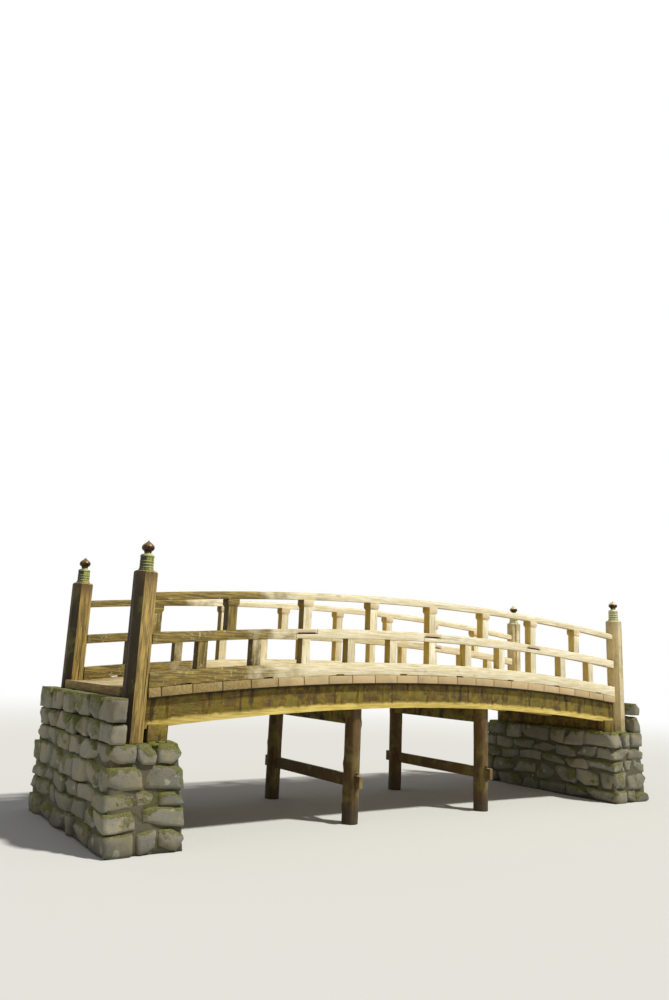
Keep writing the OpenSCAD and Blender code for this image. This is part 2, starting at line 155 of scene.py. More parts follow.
def weathered_wood(
    name, along, sun, shade, stain, checks=0.5, moss=None, algae=0.0, lap_stain=False,
    left_shade=1.0, lit_low_band=False, brown=1.0, side_shade=0.72, run_off=False, wet_foot=False,
    trodden=False, lichen=0.65, seat_shadow=False, old=("#574516", "#98802f"),
):
    """Softwood left bare outdoors: planed once, then bleached on top, streaked along the grain
    and split by fine drying checks. along is the axis of the grain, 0, 1 or 2."""
    material, put, place = new_material(name)
    x, y, z = put("SeparateXYZ", place, out=None)
    member = put("Attribute", attribute_name="member", out="Fac")
    normal = put("NewGeometry", out="Normal")
    facing = put("SeparateXYZ", normal, out=None)

    # each timber has its own stretch of grain, and the grain wavers by some 15 mm
    apart = put("CombineXYZ", put(TIMES, member, 37.0),
                put(TIMES, member, 53.0), put(TIMES, member, 71.0))
    shifted = put("VectorMath.ADD", place, apart)
    waver = put(NOISE, shifted, 1.7, 1.0, out="Color")
    wavered = put("VectorMath.MULTIPLY_ADD", waver, (0.03, 0.03, 0.03), shifted)
    stretch = [16.0, 16.0, 16.0]
    stretch[along] = 1.0
    grain = put("Mapping", {"Vector": wavered, "Scale": stretch})

    # streaks 15 mm wide, drawn wider than the growth rings so that they show at a distance
    streaks = put(NOISE, grain, 4.0, 6.0, 0.62)
    fibres = put(NOISE, grain, 17.0, 4.0, 0.7)
    # drying checks are the long thin lines where a far more stretched noise crosses its middle
    stretch[along] = 0.22
    straight = put("Mapping", {"Vector": wavered, "Scale": stretch})
    crossing = put(NOISE, straight, 1.9, 2.0)
    crack = put(SIZE, put(LESS, crossing, 0.5))
    dry = put(NOISE, shifted, 2.6, 2.0)
    cracks = put(TIMES, put(RAMP, crack, 0.012, 0.003), put(RAMP, dry, 0.5, 0.62))
    end = put(RAMP, put(SIZE, facing[along]), 0.5, 0.75)
    cracks = put(TIMES, cracks, put(LESS, 1.0, end))
    # knots, one to about half a metre of timber
    spacing = [7.0, 7.0, 7.0]
    spacing[along] = 2.3
    knot_place = put("Mapping", {"Vector": wavered, "Scale": spacing})
    knots = put(RAMP, put("TexVoronoi", knot_place, 1.0), 0.13, 0.05)
    cloud = put(NOISE, shifted, 2.2, 3.0)
    blotch = put(NOISE, shifted, 5.5, 5.0)

    # sawn ends show growth rings in place of streaks; the rings are drawn 24 mm apart, because
    # real ones of 4 mm would not show
    rings = put("TexWave", {"Vector": wavered, "Scale": 13.0, "Distortion": 4.5, "Detail": 2.0},
                wave_type="RINGS", rings_direction="XYZ"[along])
    striped = put("Mix", end, put(RAMP, streaks, 0.36, 0.66),
                  put(TIMES_PLUS, rings, 0.34, 0.4), data_type="FLOAT")
    body = put("Mix", striped, shade, sun)
    body = put("Mix", put(RAMP, cloud, 0.5, 0.7, 0.0, 0.5), body, shade)
    tone = put(TIMES_PLUS, member, 0.19, 0.87)
    body = put("Mix.MULTIPLY", 1.0, body, put(
        "CombineColor", tone, tone, put(TIMES_PLUS, member, 0.25, 0.84)))
    fine = put(TIMES, put(RAMP, fibres, 0.5, 0.72, 0.0, 0.36), put(TIMES_PLUS, end, -0.8, 1.0))
    body = put("Mix", fine, body, stain)
    body = put("Mix", put(TIMES, knots, 0.45), body, stain)
    # end grain drinks the rain and greys in blotches
    drunk = put(TIMES, end, put(RAMP, blotch, 0.45, 0.65, 0.1, 0.5))
    body = put("Mix", drunk, body, "#a0906c")
    # the sun bleaches the faces toward it, and the others keep more of their brown and are darkened
    # further as painted shade, less so toward the right end
    toward_sun = put("VectorMath.DOT_PRODUCT", normal, (0.45, -0.8, 0.7), out="Value")
    kept_brown_and_shade = put(TIMES, put(RAMP, toward_sun, 0.55, 0.25),
               put(RAMP, x, -0.5, 3.0, brown, 0.75 * brown))
    body = put("Mix", put(TIMES, kept_brown_and_shade, 0.35), body, stain)
    # the faces toward -X get an ochre tint that stands for their shade: painted shade
    damp_and_shade = put(RAMP, facing[0], -0.35, -0.65)
    body = put("Mix.MULTIPLY", put(TIMES, kept_brown_and_shade, damp_and_shade), body, "#f6e17c")
    # rain leaves the upper faces grey-green, and the faces that look down are darker
    body = put("Mix", put(RAMP, facing[2], 0.5, 0.95, 0.0, 0.5), body, "#b3a97c")
    body = put("Mix", put(RAMP, facing[2], -0.4, -0.95, 0.0, 0.35), body, stain)
    # the left end is painted browner and darker in patches as painted shade, with pale lichen on it
    shaded = put(RAMP, put(TIMES_PLUS, blotch, 1.6, x), -1.05, -1.75, 0.0, left_shade)
    left_shade_colour = put("Mix", put(RAMP, streaks, 0.4, 0.62), *old)
    body = put("Mix", put(TIMES, shaded, 0.95), body, left_shade_colour)
    # painted shade: toward the left end the faces toward -X go nearly black
    dark = put(TIMES, put(RAMP, x, 0.4, -2.2, 0.0, side_shade), damp_and_shade)
    body = put("Mix", dark, body, "#2d220b")
    crust = put(NOISE, place, 30.0, 6.0, 0.7)
    crust = put(TIMES, put(RAMP, crust, 0.55, 0.66, 0.0, lichen), put(RAMP, blotch, 0.42, 0.56))
    body = put("Mix", put(TIMES, crust, shaded), body, "#c9c5a8")
    if algae:
        body = put("Mix", put(RAMP, blotch, 0.5, 0.66, 0.0, algae), body, "#7f7a3c")
    drop = put(LESS, z, ARCH_CENTRE)
    radius = put("Math.SQRT", put(PLUS, put(TIMES, x, x), put(TIMES, drop, drop)))
    level = put(LESS, radius, DECK_RADIUS)
    if trodden:
        # the middle of the walk is worn smooth and pale
        walk = put(RAMP, put(SIZE, y), 0.72, 0.3, 0.0, 0.45)
        walk = put(TIMES, walk, put(RAMP, facing[2], 0.5, 0.95))
        body = put("Mix", put(TIMES, walk, put(RAMP, cloud, 0.3, 0.6, 0.5, 1.0)), body, "#dccba6")
    if seat_shadow:
        # a dark line in stretches where the base rail sits on the boards: painted shadow of the gap
        # under the rail
        stretches = put(NOISE, place, 1.4, 2.0)
        line = put(TIMES, put(RAMP, level, 0.0095, 0.006),
                   put(RAMP, stretches, 0.46, 0.52, 0.0, 0.8))
        body = put("Mix", line, body, "#4a3920")
    if run_off:
        # rain that runs off the bronze darkens the head of the post in long streaks
        reach = put(TIMES_PLUS, streaks, 0.55, z)
        washed = put(RAMP, reach, FINIAL_FOOT + 0.05, FINIAL_FOOT + 0.3)
        washed = put(TIMES, washed, put(RAMP, x, -2.0, 3.0, 0.8, 0.3))
        washed = put(TIMES, washed, put(RAMP, facing[2], 0.3, 0.1))
        body = put("Mix", washed, body, "#4a3520")
    if wet_foot:
        # the foot of the log stays wet for part of the year
        foot = put(RAMP, put(TIMES_PLUS, blotch, 0.22, z), 0.42, 0.2, 0.0, 0.75)
        body = put("Mix", foot, body, "#332a1a")
    if lap_stain:
        # rainwater that stands in the open laps leaves a brown stain over the seam
        along_rail = put("Math.FLOORED_MODULO", put(PLUS, x, BAY), LAP_SPACING)
        from_lap = put(SIZE, put(LESS, along_rail, BAY))
        over_seam = put(LESS, level, LAP_LEVEL)
        wet = put(TIMES, put(RAMP, from_lap, 0.16, 0.08),
                  put(RAMP, put(SIZE, put(LESS, over_seam, 0.015)), 0.035, 0.012))
        inner = put(RAMP, put(SIZE, x), 2.6, 2.3)
        wet = put(TIMES, put(TIMES, wet, inner), put(RAMP, streaks, 0.3, 0.6, 0.3, 0.65))
        body = put("Mix", wet, body, "#b98d68")
        # dirt fills the open seam itself
        seam = put(TIMES, put(RAMP, from_lap, 0.112, 0.108),
                   put(RAMP, put(SIZE, over_seam), 0.0078, 0.0068))
        body = put("Mix", put(TIMES, seam, inner), body, "#33261a")
    height = put(TIMES_PLUS, streaks, 0.5, put(TIMES, fibres, 0.4))
    roughness = put(RAMP, streaks, 0.3, 0.7, 0.72, 0.9)
    if moss:
        # moss and algae mottle the damp face, water draws dark drips down it, and each length
        # carries its own share of them
        clumps = put(NOISE, place, 7.0, 9.0, 0.7)
        drip_place = put("Mapping", {"Vector": place, "Scale": (13.0, 13.0, 2.2)})
        drips = put(NOISE, drip_place, 1.0, 6.0)
        share = put(TIMES_PLUS, member, -0.14, clumps)
        body = put("Mix", put(RAMP, clumps, 0.38, 0.62), body, "#7a6016")
        cover = put(RAMP, share, 0.4, 0.5)
        green = put("Mix", put(RAMP, drips, 0.4, 0.62), moss, "#937d1d")
        body = put("Mix", put(TIMES, cover, 0.62), body, green)
        body = put("Mix", put(RAMP, drips, 0.52, 0.66, 0.0, 0.8), body, stain)
        if lit_low_band:
            # the foot of the girder is pale and free of moss: partly dry bare wood, partly painted
            # light of the strip that the boards' shadow leaves lit
            ragged = put(PLUS, put(TIMES_PLUS, clumps, 0.07, level), put(TIMES, drips, 0.03))
            bare = put(RAMP, ragged, -0.27, -0.235)
            edge = put("Mix", put(RAMP, streaks, 0.35, 0.65), "#c1a64d", "#e3cb74")
            body = put("Mix", bare, edge, body)
            cover = put(TIMES, cover, bare)
        # painted shadow: the head of the beam, under the overhanging boards, is dark
        deck_shadow = put(RAMP, put(TIMES_PLUS, drips, 0.05, level), -0.1, -0.075)
        body = put("Mix", put(TIMES, deck_shadow, 0.75), body, "#1f160a")
        height = put(TIMES_PLUS, cover, 1.4, height)
    body = put("Mix", put(TIMES, cracks, 0.9 * checks), body, "#3a2f22")
    height = put(TIMES_PLUS, cracks, -2.2 * checks, height)
    finish_material(put, body, roughness, height, 0.0022, ior=1.45)
    return material


def laid_stone(name, grey, warm, moss):
    """Field stone, split and laid by hand: a coarse speckled break, damp at the foot and mossy
    on every ledge."""
    material, put, place = new_material(name)
    member = put("Attribute", attribute_name="member", out="Fac")
    up = put("SeparateXYZ", put("NewGeometry", out="Normal"), out="Z")
    cloud = put(NOISE, place, 6.0, 8.0, 0.65)
    grit = put(NOISE, place, 90.0, 4.0, 0.7)
    crystals = put("TexVoronoi", place, 130.0)
    body = put("Mix", put(RAMP, cloud, 0.35, 0.68), grey, warm)
    tone = put(TIMES_PLUS, member, 0.45, 0.72)
    body = put("Mix.MULTIPLY", 1.0, body, put("CombineColor", tone, tone, tone))
    body = put("Mix", put(RAMP, grit, 0.5, 0.75, 0.0, 0.45), body, "#4c4a40")
    body = put("Mix", put(RAMP, crystals, 0.25, 0.05, 0.0, 0.3), body, "#c9c4b4")
    # lichen grows in pale ragged patches 20 to 60 mm across, more on some stones than others
    lichen = put("TexVoronoi", place, 6.5)
    patch = put(NOISE, place, 38.0, 5.0, 0.65)
    grown = put(TIMES_PLUS, patch, 0.5, put(TIMES_PLUS, member, 0.16, lichen))
    spots = put(RAMP, grown, 0.5, 0.42, 0.0, 0.5)
    body = put("Mix", spots, body, "#b4b79e")
    # moss lies on the ledges and in the joints
    damp_and_shade = put(NOISE, place, 3.2, 7.0, 0.7)
    cover = put(RAMP, put(TIMES_PLUS, up, 0.24, damp_and_shade), 0.55, 0.64)
    tuft = put(NOISE, place, 70.0, 5.0)
    green = put("Mix", put(RAMP, tuft, 0.35, 0.65), "#4b4f1e", moss)
    body = put("Mix", put(TIMES, cover, 0.9), body, green)
    # the foot stays damp and dark
    z = put("SeparateXYZ", place, out="Z")
    foot = put(RAMP, put(TIMES_PLUS, cloud, 0.2, z), 0.26, 0.1, 0.0, 0.55)
    body = put("Mix", foot, body, "#3c3a2a")
    height = put(TIMES_PLUS, cloud, 1.5, put(TIMES, grit, 0.4))
    height = put(TIMES_PLUS, cover, put(TIMES_PLUS, tuft, 1.2, 0.6), height)
    finish_material(put, body, put(RAMP, cloud, 0.3, 0.7, 0.78, 0.95), height, 0.006)
    return material


def cushion_moss(name, green):
    """Living moss: a soft mat of shoots 2 mm wide, drawn 6 mm wide so that they show, yellow at
    the tips and dark between."""
    material, put, place = new_material(name)
    shoots = put("TexVoronoi", place, 160.0)
    cloud = put(NOISE, place, 13.0, 4.0)
    body = put("Mix", put(RAMP, cloud, 0.35, 0.65), green, "#8a8a35")
    body = put("Mix", put(RAMP, shoots, 0.25, 0.75, 0.0, 0.7), body, "#343a14")
    finish_material(put, body, put(RAMP, cloud, 0.3, 0.7, 0.9, 1.0), put(LESS, 1.0, shoots), 0.004)
    return material


def cast_bronze(name, brown, green):
    """Sand-cast bronze left outdoors: a dark skin that still shines on the bud, with a pale top
    that is part dust and part painted highlight, and streaked green salts on the drum, palest
    toward the sun as painted light and rubbed pale on the raised bands."""
    material, put, place = new_material(name)
    x, _, z = put("SeparateXYZ", place, out=None)
    normal = put("NewGeometry", out="Normal")
    run_place = put("Mapping", {"Vector": place, "Scale": (34.0, 34.0, 7.0)})
    runs = put(NOISE, run_place, 1.0, 6.0, 0.6)
    cloud = put(NOISE, place, 26.0, 6.0, 0.65)
    pits = put(NOISE, place, 260.0, 3.0)
    mixed = put(TIMES_PLUS, runs, 0.6, put(TIMES, cloud, 0.4))
    on_drum = put(RAMP, z, FINIAL_FOOT + 0.2, FINIAL_FOOT + 0.16)
    cover = put(RAMP, put(TIMES_PLUS, on_drum, 0.3, mixed), 0.64, 0.8)
    # a dull tan film on what faces up is part dust and part painted highlight; it is stronger on
    # the right-hand pair, which is paler
    up = put("SeparateXYZ", normal, out="Z")
    dry = put(RAMP, x, -1.0, 3.0)
    dust_and_highlight = put(RAMP, put(TIMES_PLUS, cloud, 1.6, up), 0.9, 1.45)
    dust_and_highlight = put(TIMES, dust_and_highlight, put(TIMES_PLUS, dry, 0.4, 0.4))
    patchy = put(RAMP, cloud, 0.35, 0.65)
    metal = put("Mix", patchy, brown, "#4b3a2c")
    dust_and_highlight_tone = put("Mix", patchy, "#bb9d68", "#ecd8aa")
    metal = put("Mix", dust_and_highlight, metal, put("Mix", dry, "#94793f", dust_and_highlight_tone))
    # the salts take a shaded and a lit colour by how each face turns to the sun: painted shade and
    # painted light. The shaded colour is darkest on the left-hand pair, and the right-hand pair is
    # paler all over, partly in its salts and partly as painted light
    toward_sun = put("VectorMath.DOT_PRODUCT", normal, (0.45, -0.8, 0.3), out="Value")
    damp_and_shade = put("Mix", put(RAMP, x, -2.0, 2.0), "#12160b", "#8b9a60")
    shade = put("Mix", put(RAMP, runs, 0.45, 0.7, 0.0, 0.6), damp_and_shade, green)
    light = put("Mix", put(RAMP, runs, 0.35, 0.62), green, "#a9aa5f")
    skin = put("Mix", put(RAMP, toward_sun, 0.4, 0.75), shade, light)
    skin = put("Mix", put(TIMES, dry, 0.8), skin, "#c9c890")
    # raised bands and the shoulder are rubbed pale, with dark salts left along their edges
    up_drum = put(LESS, z, FINIAL_FOOT)
    from_band = put(SIZE, put(LESS, up_drum, BANDS[0]))
    for band in BANDS[1:]:
        apart = put(SIZE, put(LESS, up_drum, band))
        from_band = put("Math.MINIMUM", from_band, apart)
    edge = put(RAMP, put(SIZE, put(LESS, from_band, 0.0105)), 0.005, 0.002, 0.0, 0.55)
    skin = put("Mix", put(TIMES, edge, on_drum), skin, "#2d3a1a")
    rubbed = put("Math.MAXIMUM", put(RAMP, from_band, 0.007, 0.0045, 0.0, 0.8),
                 put(RAMP, up, 0.15, 0.5, 0.0, 0.8))
    # painted light: the rubbed pale shows most on faces toward the sun, and on the right-hand pair
    bare = put("Math.MAXIMUM", dry, put(RAMP, toward_sun, -0.1, 0.6, 0.15, 1.0))
    rubbed = put(TIMES, rubbed, bare)
    skin = put("Mix", put(TIMES, rubbed, on_drum), skin, put("Mix", dry, "#bcbc7e", "#f3edc2"))
    body = put("Mix", cover, metal, skin)
    height = put(TIMES_PLUS, cover, 0.6, put(TIMES, pits, 0.4))
    dusty = put("Math.MAXIMUM", cover, dust_and_highlight)
    finish_material(put, body, put(RAMP, dusty, 0.0, 1.0, 0.3, 0.68), height, 0.0005,
                    put(RAMP, dusty, 0.0, 1.0, 0.85, 0.1))
    return material


def forged_iron(name):
    """Hand-forged nail iron, black scale turned to brown rust."""
    material, put, place = new_material(name)
    rust = put(NOISE, place, 240.0, 4.0)
    share = put(RAMP, rust, 0.4, 0.62)
    body = put("Mix", share, "#2f2a26", "#6b4327")
    finish_material(put, body, put(RAMP, share, 0.0, 1.0, 0.5, 0.85), rust, 0.0005,
                    put(RAMP, share, 0.0, 1.0, 0.8, 0.2))
    return material


# Meshes


def select_only(*things):
    """Leaves just these objects selected, the first of them active."""
    bpy.ops.object.select_all(action="DESELECT")
    for thing in things:
        thing.select_set(True)
    bpy.context.view_layer.objects.active = things[0]


def fresh(add, name, **sizes):
    """A new simple form, alone in the selection."""
    bpy.ops.object.select_all(action="DESELECT")
    add(**sizes)
    piece = bpy.context.object
    piece.name = name
    return piece


def within(point, box):
    """The nearest place to a point inside a box."""
    return [min(max(v, low), high) for v, low, high in zip(point, *box)]


def to_left_end(piece):
    """Mirrors a piece made for the right-hand end of the bridge."""
    piece.data.transform(Matrix.Diagonal((-1, 1, 1, 1)))
    piece.data.flip_normals()


def pick_end(piece, way):
    """Selects the faces of a small piece in edit mode that look up, or down for way=-1."""
    bpy.ops.mesh.select_all(action="DESELECT")
    bpy.ops.mesh.select_mode(type="FACE")
    shape = bmesh.from_edit_mesh(piece.data)
    for face in shape.faces:
        face.select = face.normal.z * way > 0.9
    bmesh.update_edit_mesh(piece.data)


def ease_edges(angle, **bevel):
    """Bevels the edges of the piece in edit mode that are sharper than an angle in degrees."""
    bpy.ops.mesh.select_all(action="DESELECT")
    bpy.ops.mesh.select_mode(type="EDGE")
    bpy.ops.mesh.edges_select_sharp(sharpness=math.radians(angle))
    bpy.ops.mesh.bevel(**bevel)


def in_edit_mode(piece, steps):
    """Runs edit-mode steps on the whole of one piece."""
    select_only(piece)
    bpy.ops.object.mode_set(mode="EDIT")
    bpy.ops.mesh.select_all(action="SELECT")
    steps()
    bpy.ops.object.mode_set(mode="OBJECT")


def islands(mesh):
    """The number of the loose part that each vertex belongs to."""
    parent = list(range(len(mesh.vertices)))

    def root(i):
        while parent[i] != i:
            parent[i] = parent[parent[i]]
            i = parent[i]
        return i

    for edge in mesh.edges:
        a, b = (root(i) for i in edge.vertices)
        parent[max(a, b)] = min(a, b)
    return [root(i) for i in range(len(parent))]


def number_members(piece, seed):
    """Gives every separate timber or stone in a piece its own value from 0 to 1."""
    draw = random.Random(seed)
    owner = islands(piece.data)
    values = {i: draw.random() for i in sorted(set(owner))}
    attribute = piece.data.attributes.new("member", "FLOAT", "POINT")
    attribute.data.foreach_set("value", [values[i] for i in owner])


def sway(piece, amount, box, seed):
    """Moves the surface by a smooth noise, as timber moves when it dries, within a box."""
    offset = Vector((seed * 3.1, seed * 1.7, seed * 2.3))
    for vertex in piece.data.vertices:
        moved = vertex.co + noise.noise_vector(vertex.co * 2.2 + offset) * amount
        vertex.co = within(moved, box)
    piece.data.update()


def hand_over(piece, material, slot, *nodes):
    """Finishes a piece: its material, its place on the frame and the nodes that it stands for."""
    piece.data.materials.clear()
    piece.data.materials.append(material)
    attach(piece, "root")
    if nodes:
        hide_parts(*nodes)


def timber(node, arris, material, slot, step=0.0, axis=0, amount=0.0008, seed=1, steps=None):
    """A copy of a node's timbers with worn arrises, cut across every step metres along an axis
    so that they can stray a little from the straight line."""
    piece = bpy.data.objects.new(node + "_timber", NODES[node].data.copy())
    bpy.context.scene.collection.objects.link(piece)

    def work():
        bpy.ops.mesh.remove_doubles(threshold=0.00002)
        bpy.ops.mesh.dissolve_limited(angle_limit=0.004)
        if step:
            low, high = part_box(node)
            normal = [0, 0, 0]
            normal[axis] = 1
            for i in range(1, math.ceil((high[axis] - low[axis]) / step)):
                at = [0, 0, 0]
                at[axis] = low[axis] + i * step
                bpy.ops.mesh.select_all(action="SELECT")
                bpy.ops.mesh.bisect(plane_co=at, plane_no=normal)
        ease_edges(28, offset=arris, segments=2, profile=0.5, clamp_overlap=True)

    in_edit_mode(piece, work)
    if steps:
        steps(piece)
    number_members(piece, node)
    sway(piece, amount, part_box(node), seed)
    select_only(piece)
    bpy.ops.object.shade_smooth_by_angle(angle=math.radians(35))
    hand_over(piece, material, slot, node)


def split_faces(piece, draw, low, high):
    """Cuts long wedge-shaped drying checks into the eight faces of an end post."""
    centre = (low + high) / 2
    for i in range(CHECKS_PER_POST):
        face = math.radians(45 * draw.randrange(8))
        long = draw.uniform(0.14, 0.5)
        height = draw.uniform(low.z + 0.5, high.z - long * 0.7)
        along_face = draw.uniform(-0.028, 0.028)
        wedge = fresh(bpy.ops.mesh.primitive_uv_sphere_add, "wedge", segments=4, ring_count=2,
                      radius=1)
        wedge.data.transform(Matrix.Diagonal((0.02, 0.0022, long, 1)))
        wedge.data.transform(
            Matrix.Translation((centre.x, centre.y, min(height, high.z - long - 0.03)))
            @ Matrix.Rotation(face, 4, "Z")
            @ Matrix.Translation((0.105, along_face, 0))
            @ Matrix.Rotation(draw.uniform(-0.02, 0.02), 4, "X")
        )
        select_only(piece)
        cut = piece.modifiers.new("check", "BOOLEAN")
        cut.object = wedge
        cut.operation = "DIFFERENCE"
        cut.solver = "EXACT"
        bpy.ops.object.modifier_apply(modifier=cut.name)
        bpy.data.objects.remove(wedge)


def raise_knots(piece, draw, axes):
    """Raises knots on round logs that stand about the given (x, y) axes."""
    for x, y in axes:
        spots = [(draw.uniform(0, math.tau), draw.uniform(0.12, 1.1), draw.uniform(0.5, 1.0))
                 for i in range(KNOTS_PER_LOG)]
        for vertex in piece.data.vertices:
            side = Vector((vertex.co.x - x, vertex.co.y - y))
            # the ends' middles and the other log of the pier stay as they are
            if not 0.06 <= side.length <= 0.16:
                continue
            round_log = math.atan2(side.y, side.x)
            push = 0
            for turn, height, strength in spots:
                apart = math.remainder(round_log - turn, math.tau) * side.length
                near = (apart / 0.028) ** 2 + ((vertex.co.z - height) / 0.045) ** 2
                push += 0.011 * strength * math.exp(-near)
            side = side.normalized() * push
            vertex.co.x += side.x
            vertex.co.y += side.y


def turned(name, outline, centre, sides=56):
    """A closed form turned about an upright axis through centre: a disc drawn up step by step
    through the outline's (radius, height) points."""
    (radius, height), *rest = outline
    piece = fresh(bpy.ops.mesh.primitive_circle_add, name, vertices=sides, radius=radius,
                  fill_type="NGON", location=centre + Vector((0, 0, height)))
    bpy.ops.object.transform_apply()

    def work():
        before = radius
        for wide, high in rest:
            bpy.ops.mesh.extrude_region_move()
            bpy.ops.transform.translate(value=(0, 0, centre.z + high - piece_top(piece)))
            ratio = wide / before
            bpy.ops.transform.resize(value=(ratio, ratio, 1), center_override=centre)
            before = wide
        bpy.ops.mesh.select_all(action="SELECT")
        bpy.ops.mesh.normals_make_consistent(inside=False)
        # drawing up leaves the faces in another order each run, so they are put in one order
        shape = bmesh.from_edit_mesh(piece.data)
        shape.verts.index_update()
        shape.faces.sort(key=lambda face: min(v.index for v in face.verts) * 10000
                         + max(v.index for v in face.verts))
        bmesh.update_edit_mesh(piece.data)

    in_edit_mode(piece, work)
    return piece


def piece_top(piece):
    """Height of the selected vertices of a piece in edit mode."""
    return next(v.co.z for v in bmesh.from_edit_mesh(piece.data).verts if v.select)


def join(name, pieces):
    """Joins pieces into one under a new name, at the origin."""
    select_only(*pieces)
    bpy.ops.object.join()
    joined = bpy.context.view_layer.objects.active
    joined.name = name
    joined.data.name = name
    return joined


def copies(pattern, places):
    """Copies of a small piece, each with its own mesh, moved by the matrices in places."""
    made = []
    for place in places:
        thing = bpy.data.objects.new(pattern.name, pattern.data.copy())
        thing.data.transform(place)
        bpy.context.scene.collection.objects.link(thing)
        made.append(thing)
    bpy.data.objects.remove(pattern)
    return made


def on_deck(x, y):
    """Matrix that stands a small piece on the arch of the deck."""
    z = ARCH_CENTRE + math.sqrt(DECK_RADIUS * DECK_RADIUS - x * x)
    return Matrix.Translation((x, y, z)) @ Matrix.Rotation(math.asin(x / DECK_RADIUS), 4, "Y")


# Settings


class WoodSettings(bpy.types.PropertyGroup):
    """Colours and wear of the timber."""

    rail_sun: colour_property("Rail wood", "Sun-bleached face of the railing timber", "#fbf2d8")
    rail_shade: colour_property("Rail streaks", "Darker streaks in the railing timber", "#e1d1a3")
    stain: colour_property("Weather stain", "Brown of knots, fibres and damp", "#8c6a36")
    block_sun: colour_property("Cap block wood", "Lit face of the cap blocks", "#f0dfbb")
    block_shade: colour_property("Cap block streaks", "Darker streaks in the cap blocks", "#e2cda1")
    post_sun: colour_property("End post wood", "Sunlit face of the end posts", "#f8ebc8")
    post_shade: colour_property("End post streaks", "Darker streaks in the end posts", "#dcc592")
    deck_sun: colour_property("Deck wood", "Pale worn face of the deck boards", "#dcc397")
    deck_shade: colour_property("Deck streaks", "Darker streaks in the deck boards", "#b99b6d")
    beam: colour_property("Girder wood", "Bare timber of the girders", "#6f561c")
    moss: colour_property("Moss", "Moss and algae on the girders and stones", "#6b6826")
    log: colour_property("Pier logs", "Peeled logs of the piers", "#7b6038")
    arris: FloatProperty(
        name="Arris", description="Width of the worn edge of a sawn timber", default=0.004,
        min=0.001, max=0.01, subtype="DISTANCE", unit="LENGTH",
    )


class StoneSettings(bpy.types.PropertyGroup):
    """Sizes and colours of the laid stone."""

    course: FloatProperty(
        name="Course", description="Height of one course of stone", default=0.19, min=0.1,
        max=0.4, subtype="DISTANCE", unit="LENGTH",
    )
    joint: FloatProperty(
        name="Joint", description="Width of the open joint between stones", default=0.014,
        min=0.004, max=0.04, subtype="DISTANCE", unit="LENGTH",
    )
    grey: colour_property("Stone grey", "Cooler of the stone's two colours", "#77756a")
    warm: colour_property("Stone brown", "Warmer of the stone's two colours", "#8d8468")


class MetalSettings(bpy.types.PropertyGroup):
    """Colours of the finials."""

    brown: colour_property("Bronze skin", "Brown skin of the cast bronze", "#2b211d")
    green: colour_property("Bronze salts", "Green salts on the cast bronze", "#666d30")


# Operators


class BRIDGE_OT_railings(bpy.types.Operator):
    """Base rails, middle rails, posts, cap blocks and handrails"""

    bl_idname = "bridge.railings"
    bl_label = "Railings"

    def execute(self, context):
        s = context.scene.bridge_wood
        colours = (s.rail_sun, s.rail_shade, s.stain)
        rail = weathered_wood("planed cedar rail", 0, *colours)
        lapped = weathered_wood("planed cedar lapped rail", 0, *colours, lap_stain=True)
        post = weathered_wood("planed cedar post", 2, *colours)
        block = weathered_wood("planed cedar cap block", 0, s.block_sun, s.block_shade, s.stain)
        seated = weathered_wood("planed cedar base rail", 0, *colours, seat_shadow=True)
        for side in ("near", "far"):
            seed = 1 if side == "near" else 2
            timber("base_rail_" + side, s.arris, seated, "railing_wood", 0.15, seed=seed)
            timber("handrail_" + side, s.arris, rail, "railing_wood", 0.15, seed=seed)
            for place in ("outer_left", "inner_left", "inner_right", "outer_right"):
                timber(f"mid_rail_{side}_{place}", s.arris * 0.75, lapped, "railing_wood", 0.15,
                       seed=seed)
            for name in ("short_posts_", "tall_posts_"):
                timber(name + side, s.arris, post, "railing_wood", seed=seed)
            timber("cap_blocks_" + side, s.arris, block, "railing_wood", seed=seed)
        return {"FINISHED"}


class BRIDGE_OT_end_posts(bpy.types.Operator):
    """Eight-sided end posts with long drying checks"""

    bl_idname = "bridge.end_posts"
    bl_label = "End posts"

    def execute(self, context):
        s = context.scene.bridge_wood
        material = weathered_wood(
            "split-dried cypress post", 2, s.post_sun, s.post_shade, s.stain,
            checks=0.8, algae=0.3, left_shade=0.94, brown=0.4, side_shade=1.0, run_off=True, lichen=0.12,
            old=("#664e1a", "#b5933c"),
        )
        for number, name in enumerate(CORNERS):
            node = "end_post_" + name
            low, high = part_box(node)
            timber(node, 0.003, material, "end_post_wood", seed=3 + number,
                   steps=lambda piece: split_faces(piece, random.Random(40 + number), low, high))
        return {"FINISHED"}


